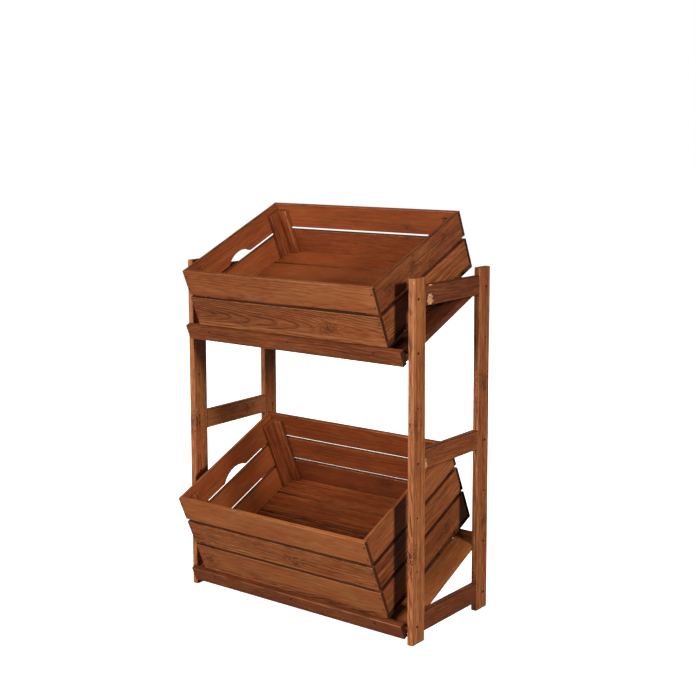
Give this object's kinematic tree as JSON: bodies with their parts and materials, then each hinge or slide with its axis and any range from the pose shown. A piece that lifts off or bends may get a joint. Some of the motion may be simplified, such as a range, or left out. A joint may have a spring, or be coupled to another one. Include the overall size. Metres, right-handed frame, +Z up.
{
  "type": "market crate stand",
  "caption": "Free-standing wooden market stand: ladder side frames carry forward-tilted trays that hold open slatted crates, which lift off by the hand holds in their ends.",
  "frame": {"origin": "middle of the footprint of the whole stand with its crates, on the ground", "axes": "+Z up, -Y towards the customer, X along the crates' length"},
  "size_m": [0.7224, 0.4614, 1.0184],
  "materials": {
    "frame_wood": "reddish brown stained pine, worn satin, knots and pale arrises",
    "tray_wood": "reddish brown stained pine, worn satin",
    "crate_wood": "reddish brown stained pine, satin, dark end grain",
    "fasteners": "dulled dark steel"
  },
  "bodies": {
    "stand": {"upright_front_left": "frame_wood", "upright_front_right": "frame_wood", "upright_rear_left": "frame_wood", "upright_rear_right": "frame_wood", "rail_bottom_left": "frame_wood", "rail_bottom_right": "frame_wood", "rail_mid_left": "frame_wood", "rail_mid_right": "frame_wood", "rail_top_left": "frame_wood", "rail_top_right": "frame_wood", "lower_lip": "tray_wood", "upper_lip": "tray_wood", "lower_crossbar": "tray_wood", "upper_crossbar": "tray_wood", "lower_runner_left": "tray_wood", "lower_runner_right": "tray_wood", "upper_runner_left": "tray_wood", "upper_runner_right": "tray_wood", "lower_bearer_left": "tray_wood", "lower_bearer_mid": "tray_wood", "lower_bearer_right": "tray_wood", "upper_bearer_left": "tray_wood", "upper_bearer_mid": "tray_wood", "upper_bearer_right": "tray_wood", "rail_pins": "fasteners", "tray_screws": "fasteners", "tray_nails": "fasteners"},
    "lower_crate": {"lower_front_slat_1": "crate_wood", "lower_front_slat_2": "crate_wood", "lower_front_slat_3": "crate_wood", "lower_rear_slat_1": "crate_wood", "lower_rear_slat_2": "crate_wood", "lower_rear_slat_3": "crate_wood", "lower_left_slat_1": "crate_wood", "lower_left_slat_2": "crate_wood", "lower_left_slat_3": "crate_wood", "lower_right_slat_1": "crate_wood", "lower_right_slat_2": "crate_wood", "lower_right_slat_3": "crate_wood", "lower_floor_boards": "crate_wood", "lower_end_cleats": "crate_wood", "lower_corner_battens": "crate_wood", "lower_stop_blocks": "crate_wood", "lower_crate_nails": "fasteners"},
    "upper_crate": {"upper_front_slat_1": "crate_wood", "upper_front_slat_2": "crate_wood", "upper_rear_slat_1": "crate_wood", "upper_rear_slat_2": "crate_wood", "upper_left_slat_1": "crate_wood", "upper_left_slat_2": "crate_wood", "upper_right_slat_1": "crate_wood", "upper_right_slat_2": "crate_wood", "upper_floor_boards": "crate_wood", "upper_end_cleats": "crate_wood", "upper_corner_battens": "crate_wood", "upper_stop_blocks": "crate_wood", "upper_crate_nails": "fasteners"}
  },
  "joints": [
    {"name": "lower_crate_lift", "type": "slide", "parent": "stand", "child": "lower_crate", "axis": [0, -0.4127, 0.9109], "range_m": [0, 0.28]},
    {"name": "upper_crate_lift", "type": "slide", "parent": "stand", "child": "upper_crate", "axis": [0, -0.3921, 0.9199], "range_m": [0, 0.3]}
  ]
}
